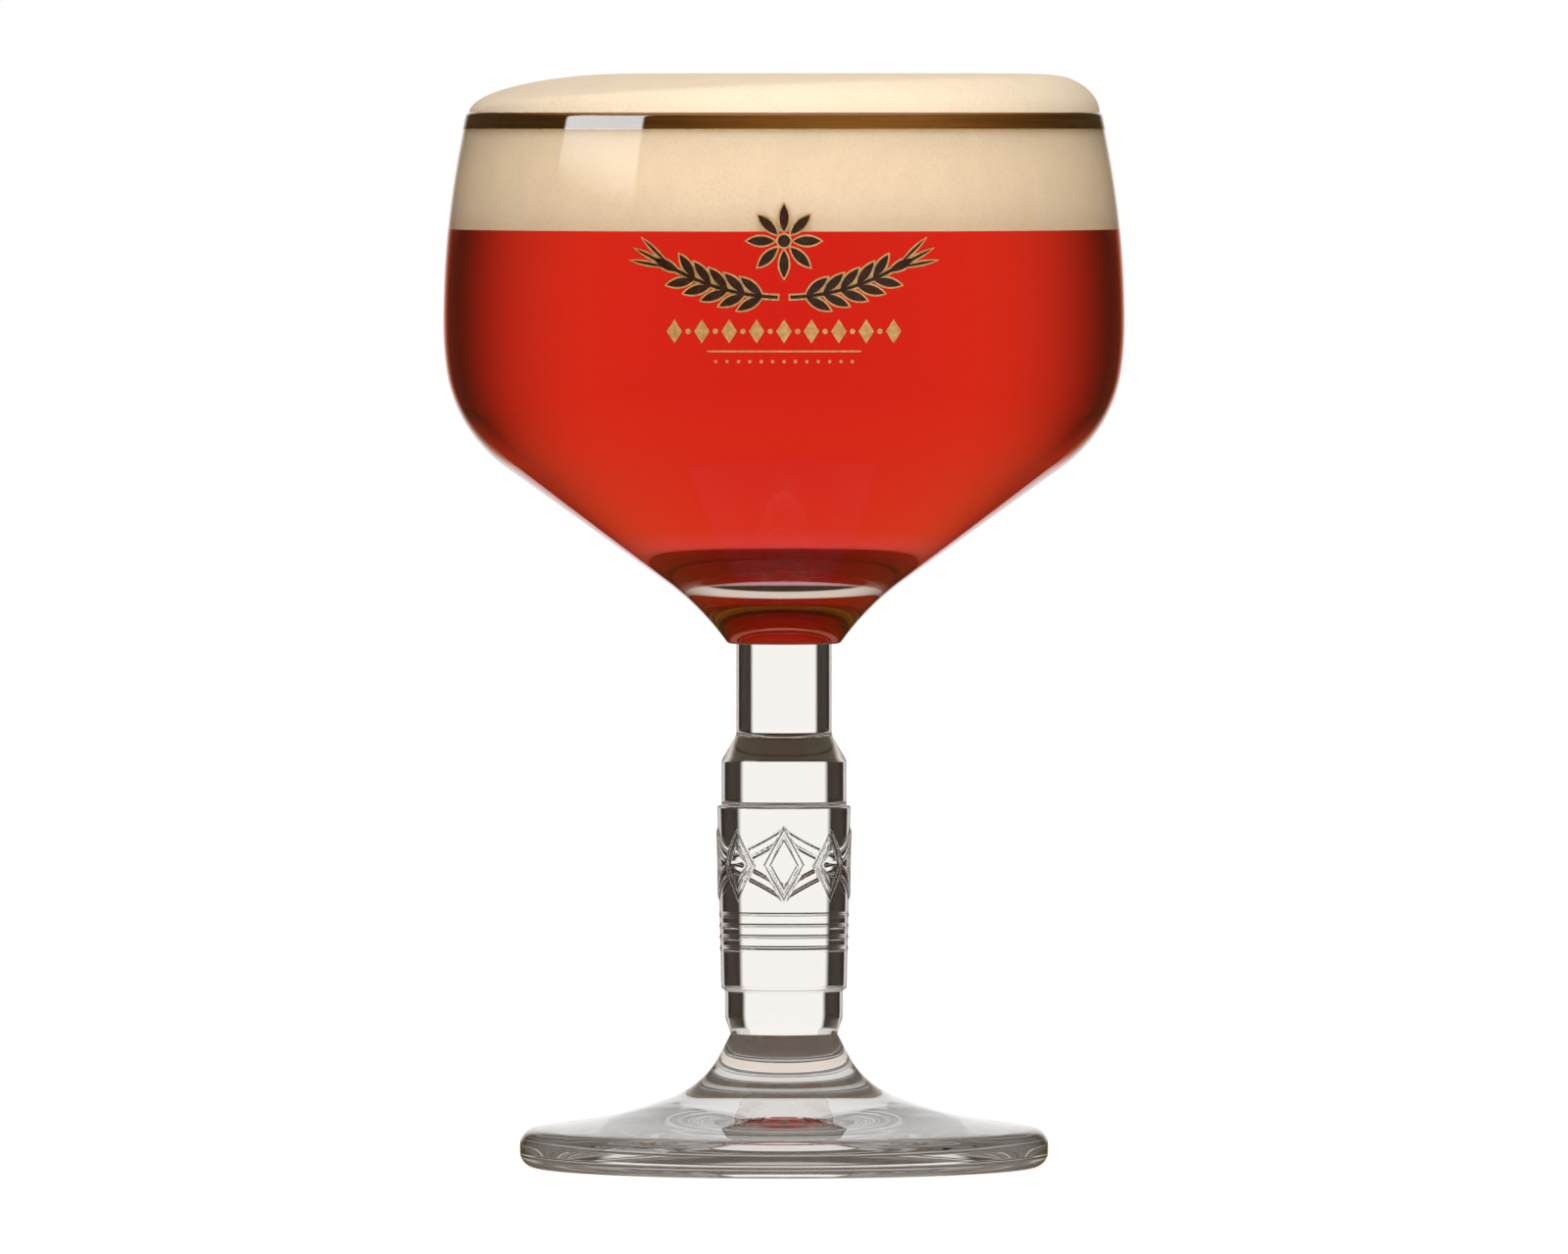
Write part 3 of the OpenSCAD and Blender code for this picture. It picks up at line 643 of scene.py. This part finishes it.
def print_tree(dot_sides=24):
    """Lays flat marks on the curve of the bowl's wall and gives them their thickness."""
    tree = bpy.data.node_groups.new("print on the wall", "GeometryNodeTree")
    given = add_inputs(tree, [
        ("Wall radius", "Float"), ("Wall middle", "Float"), ("Roll radius", "Float"),
        ("Roll middle", "Float"), ("Belly height", "Float"), ("Lift", "Float"),
        ("Thickness", "Float"), ("Material", "Material")])

    def mark(rows, columns, narrowing):
        """A flat shape one metre long, whose width narrows from its middle to its ends."""
        grid = given.node("GeometryNodeMeshGrid", sockets={
            "Size X": 1.0, "Size Y": 1.0, "Vertices X": columns, "Vertices Y": rows})
        spot = parts_of(given.node("GeometryNodeInputPosition"))
        width = narrowing(given.math("ABSOLUTE", spot.out("Y")) * 2)
        return given.node("GeometryNodeSetPosition", sockets={
            0: grid, "Position": given.node("ShaderNodeCombineXYZ", sockets={
                0: spot * width, 2: spot.out("Y")})})

    disc = given.node("GeometryNodeMeshCircle", {"fill_type": "TRIANGLE_FAN"}, {
        "Vertices": dot_sides, "Radius": 0.5})
    disc = given.node("GeometryNodeTransform", sockets={
        0: disc, "Rotation": (math.pi / 2, 0, 0)})
    leaf = mark(rows=17, columns=5, narrowing=lambda v: 1 - v * v)
    lozenge = mark(rows=9, columns=5, narrowing=lambda v: 1 - v)
    bar = mark(rows=5, columns=3, narrowing=lambda v: v * 0 + 1)
    named = {name: given.node(
        "GeometryNodeInputNamedAttribute", {"data_type": "FLOAT"}, {0: name})
        for name in ("kind", "lean", "long", "wide")}
    turned_by = given.node("ShaderNodeCombineXYZ", sockets={1: named["lean"]})
    size = given.node("ShaderNodeCombineXYZ", sockets={
        0: named["wide"], 1: 1.0, 2: named["long"]})
    joined = given.node("GeometryNodeJoinGeometry")
    for kind, shape in enumerate((leaf, lozenge, disc, bar)):
        chosen = given.math("LESS_THAN", given.math("ABSOLUTE", named["kind"] - kind), 0.5)
        laid = given.node("GeometryNodeInstanceOnPoints", sockets={
            "Points": given.out("Geometry"), "Selection": chosen, "Instance": shape,
            "Rotation": turned_by, "Scale": size})
        tree.links.new(laid.socket, joined.socket.node.inputs[0])
    flat = given.node("GeometryNodeMergeByDistance", sockets={
        0: given.node("GeometryNodeRealizeInstances", sockets={0: joined}), "Distance": same_m})
    spot = parts_of(given.node("GeometryNodeInputPosition"))
    x, z = spot, spot.out("Z")
    rise = z - given.out("Belly height")
    low = given.math("LESS_THAN", rise, 0)

    def radius(middle, bow):
        """How far from the axis the wall is, where it bows round a middle."""
        return middle + given.math("SQRT", bow * bow - rise * rise) + given.out("Lift")

    upper = radius(given.out("Wall middle"), given.out("Wall radius"))
    lower = radius(given.out("Roll middle"), given.out("Roll radius"))
    reach = upper + (lower - upper) * low
    onto = given.node("ShaderNodeCombineXYZ", sockets={
        0: x, 1: 0 - given.math("SQRT", reach * reach - x * x), 2: z})
    bent = given.node("GeometryNodeSetPosition", sockets={0: flat, "Position": onto})
    top = given.node("GeometryNodeExtrudeMesh", sockets={
        "Mesh": bent, "Offset Scale": given.out("Thickness"), "Individual": False})
    back = given.node("GeometryNodeFlipFaces", sockets={0: bent})
    both = given.node("GeometryNodeJoinGeometry", sockets={0: back})
    tree.links.new(top.socket, both.socket.node.inputs[0])
    solid = given.node("GeometryNodeMergeByDistance", sockets={0: both, "Distance": same_m})
    plain = given.node("GeometryNodeRealizeInstances", sockets={0: solid})
    given.node("NodeGroupOutput", sockets={0: given.node("GeometryNodeSetMaterial", sockets={
        0: plain, "Material": given.out("Material")})})
    return tree


print_on_wall = print_tree()


def printed(name, marks, lift, thickness, material):
    """A printed layer from marks of kind, x, z, lean from upright, length and width."""
    mesh = bpy.data.meshes.new(name)
    mesh.from_pydata([(x / 1000, 0, z / 1000) for kind, x, z, lean, long, wide in marks], [], [])
    for title, column, scale in (("kind", 0, 1), ("lean", 3, math.pi / 180),
                                 ("long", 4, 0.001), ("wide", 5, 0.001)):
        layer = mesh.attributes.new(title, "FLOAT", "POINT")
        for i, mark in enumerate(marks):
            layer.data[i].value = mark[column] * scale
    return shaped(name, mesh, [(print_on_wall, {
        "Wall radius": wall_r / 1000, "Wall middle": wall_c[0] / 1000,
        "Roll radius": roll_r / 1000, "Roll middle": roll_c[0] / 1000,
        "Belly height": belly_z / 1000, "Lift": lift / 1000,
        "Thickness": thickness / 1000, "Material": material})])


def grain(near, heading, length, width, grow):
    """A pointed oval that starts at a point and runs along a heading from level."""
    return (LEAF, *out_from(near, length / 2, heading), 90 - heading,
            length + 3 * grow, width + 2 * grow)


def barley(grow, side):
    """One ear: paired grains along a curved stalk, a grain at its tip and three awns."""
    middle = (0, ear_r - ear_drop)
    marks = []
    for i in range(grain_pairs):
        a = ear_from_deg + i * ear_step_deg - 90
        for s in (-1, 1):
            near = out_from(middle, ear_r + s * stalk_w / 4, a)
            marks.append(grain(near, a + 90 - s * grain_deg, grain_l, grain_w, grow))
    tip = ear_from_deg + grain_pairs * ear_step_deg - 90
    end = out_from(middle, ear_r, tip)
    marks.append(grain(end, tip + 90, grain_l, grain_w, grow))
    for k in (-1, 0, 1):
        near = out_from(out_from(end, grain_l / 2, tip + 90), k * grain_w / 4, tip)
        marks.append(grain(near, tip + 90 - k * grain_deg / 2, awn_l, awn_w, grow))
    first, last = stalk_from_deg - 90, tip + ear_step_deg / 4
    step = (last - first) / stalk_bars
    for i in range(stalk_bars):
        a = first + (i + 0.5) * step
        marks.append((BAR, *out_from(middle, ear_r, a), -a,
                      math.radians(step) * ear_r + 2 * grow, stalk_w + 2 * grow))
    return [(kind, side * x, print_z + z, side * lean, long, wide)
            for kind, x, z, lean, long, wide in marks]


def ornament(grow):
    """The rosette between its two ears, with each shape grown by an edging."""
    marks = barley(grow, 1) + barley(grow, -1)
    petal_from, petal_l, eye_d = rosette_d / 8, rosette_d * 3 / 8, rosette_d / 6
    for i in range(petal_count):
        heading = i * 360 / petal_count
        near = out_from((0, print_z), petal_from, heading)
        marks.append(grain(near, heading, petal_l, rosette_d / petal_count, grow))
    return marks + [(DOT, 0, print_z, 0, eye_d + 2 * grow, eye_d + 2 * grow)]


def speckle(ink, scale, detail, span, dark, light, smooth, rough, rough_span=(0.3, 0.7)):
    """Fine specks in an ink's colour and roughness."""
    flow = Flow(ink.node_tree)
    speck = flow.node("ShaderNodeTexNoise", sockets={
        "Vector": flow.node("ShaderNodeTexCoord", out="Object"),
        "Scale": scale, "Detail": detail})
    feed(ink, Base_Color=speck.fade(*span).blend(dark, light),
         Roughness=speck.fade(*rough_span, smooth, rough))


enamel = finish_of("brown enamel", Base_Color=(0.03, 0.01, 0.004, 1), Roughness=0.25,
                   Specular_IOR_Level=0.25)
speckle(enamel, scale=900.0, detail=2.0, span=(0.35, 0.65), dark=(0.024, 0.008, 0.003, 1),
        light=(0.036, 0.013, 0.006, 1), smooth=0.18, rough=0.3)
gold_ink = finish_of("gold ink", Base_Color=(0.58, 0.33, 0.12, 1), Metallic=0.35,
                     Roughness=0.35)
speckle(gold_ink, scale=1400.0, detail=3.0, span=(0.3, 0.7), dark=(0.5, 0.27, 0.09, 1),
        light=(0.66, 0.4, 0.15, 1), smooth=0.28, rough=0.45)

row_step = (row_w - row_lozenge_w) / (row_count - 1)
row_z = print_z - row_drop
rule_z = row_z - rule_drop
row_marks = [(LOZENGE, (i - (row_count - 1) / 2) * row_step, row_z, 0, row_h, row_lozenge_w)
             for i in range(row_count)]
row_marks += [(DOT, (i - (row_count - 2) / 2) * row_step, row_z, 0, dot_d, dot_d)
              for i in range(row_count - 1)]
row_marks += [(BAR, (i - (rule_bars - 1) / 2) * rule_w / rule_bars, rule_z + rule_t / 2, 90,
               rule_w / rule_bars, rule_t) for i in range(rule_bars)]
row_marks += [(DOT, (i - (speck_count - 1) / 2) * speck_pitch, rule_z - speck_drop, 0,
               speck_d, speck_d) for i in range(speck_count)]
gold_layer = printed("gold_layer", ornament(edging) + row_marks, 0.0, gold_film, gold_ink)
enamel_layer = printed("enamel_layer", ornament(0), gold_film, film - gold_film, enamel)
for piece, node, slot in ((gold_layer, "gold_print", "gold_ink"),
                          (enamel_layer, "enamel_print", "enamel")):
    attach(piece, "root")
    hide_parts(node)

# Beer
# A clear red amber ale that wets the glass all round, so no film of air is left between
# them. Its face and its depth both tint it: paler near the well, where there is less of
# it. Rays that were mirrored inside the glass find its face a painted brown shade instead.
wetting, corner_out = 0.15, 0.05
ale_tint, bounced_painted_shade, well_tint = (
    (0.89, 0.19, 0.022, 1), (0.78, 0.52, 0.1, 1), (0.99, 0.9, 0.8, 1))
pale_below = (0.0926, 0.0985)
red_ale = finish_of("red ale", Base_Color=ale_tint, Roughness=0.0, IOR=1.0,
                    Transmission_Weight=1.0)
flow = Flow(red_ale.node_tree)
height = parts_of(flow.node("ShaderNodeTexCoord", out="Object")).out("Z")
# Painted brown shade, in place of the ale's red, for rays mirrored inside the glass.
bounced = flow.math("MINIMUM", flow.node("ShaderNodeLightPath", out="Glossy Depth"), 1)
amber = bounced.blend(ale_tint, bounced_painted_shade)
feed(red_ale, Base_Color=height.fade(*pale_below).blend(well_tint, amber))
depth_tint = flow.node("ShaderNodeVolumeAbsorption", sockets={
    "Color": (0.933, 0.2, 0.733, 1), "Density": 30.0})
red_ale.node_tree.links.new(
    depth_tint.socket, red_ale.node_tree.nodes["Material Output"].inputs["Volume"])
beer_side = [p for p in inside_wall(wetting) if p[1] < beer_z]
beer_outline = [(0, beer_z), (beer_side[0][0] + corner_out, beer_z)] + beer_side
beer = shaped("ale", outline_mesh("beer", filled(beer_outline, 2.0)[::-1]),
              [(turned, {"Around": 256, "Material": red_ale})])
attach(beer, "root")
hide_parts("beer")

# Froth
# A close head of small bubbles. It fills the bowl above the beer, wets the glass, and
# stands over the lip in a flat dome, steep on the right and gentle on the left.
crown_h, steep_w, gentle_w, lean, froth_dip = 6.0, 9.2, 27.0, 6.0, 0.2
crown_r, crown_z = out_from(lip_c, lip_r, band_lip_deg)
top_z = rim_z + crown_h
cream_tint = (0.925, 0.785, 0.6, 1)
froth_foam = finish_of("froth", Base_Color=cream_tint, Roughness=0.6, Specular_IOR_Level=0.3)
flow = Flow(froth_foam.node_tree)
spots = flow.node("ShaderNodeTexCoord", out="Object")
cells = flow.node("ShaderNodeTexVoronoi", sockets={"Vector": spots, "Scale": 1500.0},
                  out="Distance")
clumps = flow.node("ShaderNodeTexNoise", sockets={
    "Vector": spots, "Scale": 220.0, "Detail": 4.0})
height = flow.node("ShaderNodeMapRange", sockets={
    0: parts_of(spots).out("Z"), 1: beer_z / 1000, 2: top_z / 1000})
# The froth's colour by height: darker low down where it meets the beer, then painted shade on the
# dome's sides over the lip and a lighter top, which evens out the strong front light.
cream_and_painted_shade = flow.node("ShaderNodeValToRGB", {"stops": [
    (0.0, (0.88, 0.7, 0.48, 1)), (0.12, (0.91, 0.765, 0.58, 1)), (0.6, cream_tint),
    (0.76, (0.8, 0.655, 0.48, 1)), (0.9, (0.81, 0.66, 0.49, 1)),
    (1.0, (0.88, 0.725, 0.54, 1))]}, {0: height})
# Painted shade in the pits of the bubbles, where the bump is lowest, varied at random in clumps.
pore_shade_span, in_clumps = (0.0, 0.5, 0.93, 1.0), (0.25, 0.7, 0.96, 1.0)
painted_pore_shade = cells.fade(*pore_shade_span) * clumps.fade(*in_clumps)
feed(froth_foam,
     Base_Color=flow.node("ShaderNodeMix", {"data_type": "RGBA", "blend_type": "MULTIPLY"}, {
         0: 1.0, 6: cream_and_painted_shade, 7: flow.node("ShaderNodeCombineColor", sockets={
             0: painted_pore_shade, 1: painted_pore_shade, 2: painted_pore_shade})}, out=2),
     Normal=flow.node("ShaderNodeBump", sockets={
         "Strength": 0.25, "Distance": 0.0002, "Height": cells}))


def froth_tree(blend_h=0.0006):
    """Cuts the steep dome with a gentle one that leans to the steep side."""
    tree = bpy.data.node_groups.new("leaning dome", "GeometryNodeTree")
    given = add_inputs(tree, [("Top", "Float"), ("Crown", "Float"), ("Reach", "Float"),
                              ("Gentle width", "Float"), ("Lean", "Float")])
    spot = parts_of(given.node("GeometryNodeInputPosition"))
    x, y, z = spot, spot.out("Y"), spot.out("Z")
    off = x - given.out("Lean")
    out = given.math("SQRT", off * off + y * y)
    across = given.math("MAXIMUM", (out - given.out("Reach")) / given.out("Gentle width") + 1, 0)
    across = given.math("MINIMUM", across, 1)
    ceiling = given.out("Crown") + (given.out("Top") - given.out("Crown")) * given.math(
        "SQRT", 1 - across * across)
    over = given.math("GREATER_THAN", z, given.out("Crown"))
    cut = given.node("ShaderNodeCombineXYZ", sockets={
        0: x, 1: y, 2: given.math("SMOOTH_MIN", z, ceiling, blend_h)})
    moved = given.node("GeometryNodeSetPosition", sockets={
        0: given.out("Geometry"), "Selection": over, "Position": cut})
    given.node("NodeGroupOutput", sockets={0: moved})
    return tree


froth_side = [p for p in inside_wall(wetting) if p[1] > beer_z - froth_dip]
dome = [(crown_r - steep_w + steep_w * way(a)[0], crown_z + (top_z - crown_z) * way(a)[1])
        for a in range(90, -1, -3)]
lip_top = arc(lip_c, lip_r - wetting, band_lip_deg, lip_in_deg + 180, step=0.12)
froth_outline = [(0, top_z)] + dome + lip_top[:-1] + froth_side + [(0, beer_z - froth_dip)]
froth = shaped("froth_head", outline_mesh("froth", filled(froth_outline, 0.6)[::-1]),
               [(turned, {"Around": 256, "Material": froth_foam}),
                (froth_tree(), {
                    "Top": top_z / 1000, "Crown": crown_z / 1000,
                    "Reach": (crown_r + lean - film) / 1000, "Gentle width": gentle_w / 1000,
                    "Lean": lean / 1000})])
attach(froth, "root")
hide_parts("froth")
